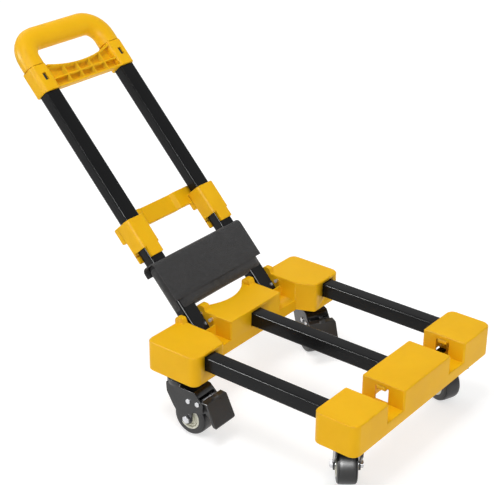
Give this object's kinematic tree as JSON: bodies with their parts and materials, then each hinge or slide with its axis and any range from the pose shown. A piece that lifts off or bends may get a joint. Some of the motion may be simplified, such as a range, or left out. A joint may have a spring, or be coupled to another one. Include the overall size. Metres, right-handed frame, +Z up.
{
  "type": "folding platform trolley",
  "caption": "Folding luggage trolley: plastic crosspieces on square deck tubes, swivel casters with rear brakes, and a fold-forward tube handle with a fabric pouch.",
  "frame": {"origin": "on the floor, under the middle of the whole trolley with its handle leaned back", "axes": "+X to the right seen from the front, +Y back towards the handle, +Z up"},
  "size_m": [0.38, 0.7649, 0.5382],
  "materials": {
    "yellow_plastic": "satin",
    "deck_tube_paint": "satin",
    "handle_tube_coat": "satin",
    "fork_paint": "gloss",
    "black_plastic": "satin",
    "bright_steel": "satin",
    "tyre_rubber": "satin",
    "hub_plastic": "satin",
    "pouch_fabric": "matte"
  },
  "bodies": {
    "frame": {"front_crosspiece": "yellow_plastic", "rear_crosspiece": "yellow_plastic", "deck_tube_left": "deck_tube_paint", "deck_screw_front_left": "bright_steel", "deck_screw_rear_left": "bright_steel", "deck_tube_centre": "deck_tube_paint", "deck_screw_front_centre": "bright_steel", "deck_screw_rear_centre": "bright_steel", "deck_tube_right": "deck_tube_paint", "deck_screw_front_right": "bright_steel", "deck_screw_rear_right": "bright_steel", "hinge_pin_left": "bright_steel", "guide_stud_inner_left": "bright_steel", "guide_stud_outer_left": "bright_steel", "hinge_pin_right": "bright_steel", "guide_stud_inner_right": "bright_steel", "guide_stud_outer_right": "bright_steel", "caster_mount_rear_left": "fork_paint", "caster_mount_rear_right": "fork_paint", "caster_mount_front_left": "fork_paint", "caster_mount_front_right": "fork_paint"},
    "handle": {"handle_tube_left": "handle_tube_coat", "tube_plug_left": "black_plastic", "brace_screw_left": "bright_steel", "yoke_spring_left": "black_plastic", "handle_tube_right": "handle_tube_coat", "tube_plug_right": "black_plastic", "brace_screw_right": "bright_steel", "yoke_spring_right": "black_plastic", "handle_brace": "yellow_plastic", "handle_yoke": "yellow_plastic", "grip_loop": "yellow_plastic", "pouch": "pouch_fabric"},
    "fork_rear_left_body": {"fork_rear_left": "fork_paint", "axle_rear_left": "bright_steel", "pedal_rivet_rear_left": "bright_steel", "fork_rivet_rear_left": "bright_steel"},
    "wheel_rear_left": {"tyre_rear_left": "tyre_rubber", "hub_rear_left": "hub_plastic"},
    "pedal_rear_left": {"brake_pedal_rear_left": "black_plastic"},
    "fork_rear_right_body": {"fork_rear_right": "fork_paint", "axle_rear_right": "bright_steel", "pedal_rivet_rear_right": "bright_steel", "fork_rivet_rear_right": "bright_steel"},
    "wheel_rear_right": {"tyre_rear_right": "tyre_rubber", "hub_rear_right": "hub_plastic"},
    "pedal_rear_right": {"brake_pedal_rear_right": "black_plastic"},
    "fork_front_left_body": {"fork_front_left": "fork_paint", "axle_front_left": "bright_steel"},
    "wheel_front_left": {"tyre_front_left": "tyre_rubber", "hub_front_left": "hub_plastic"},
    "fork_front_right_body": {"fork_front_right": "fork_paint", "axle_front_right": "bright_steel"},
    "wheel_front_right": {"tyre_front_right": "tyre_rubber", "hub_front_right": "hub_plastic"}
  },
  "joints": [
    {"name": "handle_fold", "type": "hinge", "parent": "frame", "child": "handle", "pos_m": [0, 0.0015, 0.139], "axis": [1, 0, 0], "range_deg": [0, 133.6], "deforming": ["pouch"]},
    {"name": "swivel_rear_left", "type": "hinge", "parent": "frame", "child": "fork_rear_left_body", "pos_m": [-0.165, -0.0435, 0.09], "axis": [0, 0, 1], "continuous": true},
    {"name": "roll_rear_left", "type": "hinge", "parent": "fork_rear_left_body", "child": "wheel_rear_left", "pos_m": [-0.16454, -0.07, 0.03], "axis": [0.9998, 0.0175, 0], "continuous": true},
    {"name": "brake_rear_left", "type": "hinge", "parent": "fork_rear_left_body", "child": "pedal_rear_left", "pos_m": [-0.16418, -0.09049, 0.064], "axis": [0.9998, 0.0175, 0], "range_deg": [0, 7]},
    {"name": "swivel_rear_right", "type": "hinge", "parent": "frame", "child": "fork_rear_right_body", "pos_m": [0.165, -0.0435, 0.09], "axis": [0, 0, 1], "continuous": true},
    {"name": "roll_rear_right", "type": "hinge", "parent": "fork_rear_right_body", "child": "wheel_rear_right", "pos_m": [0.15135, -0.06621, 0.03], "axis": [0.8572, -0.515, 0], "continuous": true},
    {"name": "brake_rear_right", "type": "hinge", "parent": "fork_rear_right_body", "child": "pedal_rear_right", "pos_m": [0.14079, -0.08379, 0.064], "axis": [0.8572, -0.515, 0], "range_deg": [0, 7]},
    {"name": "swivel_front_left", "type": "hinge", "parent": "frame", "child": "fork_front_left_body", "pos_m": [-0.149, -0.345, 0.09], "axis": [0, 0, 1], "continuous": true},
    {"name": "roll_front_left", "type": "hinge", "parent": "fork_front_left_body", "child": "wheel_front_left", "pos_m": [-0.12812, -0.32868, 0.03], "axis": [-0.6157, 0.788, 0], "continuous": true},
    {"name": "swivel_front_right", "type": "hinge", "parent": "frame", "child": "fork_front_right_body", "pos_m": [0.149, -0.345, 0.09], "axis": [0, 0, 1], "continuous": true},
    {"name": "roll_front_right", "type": "hinge", "parent": "fork_front_right_body", "child": "wheel_front_right", "pos_m": [0.15893, -0.32043, 0.03], "axis": [-0.9272, 0.3746, 0], "continuous": true}
  ]
}
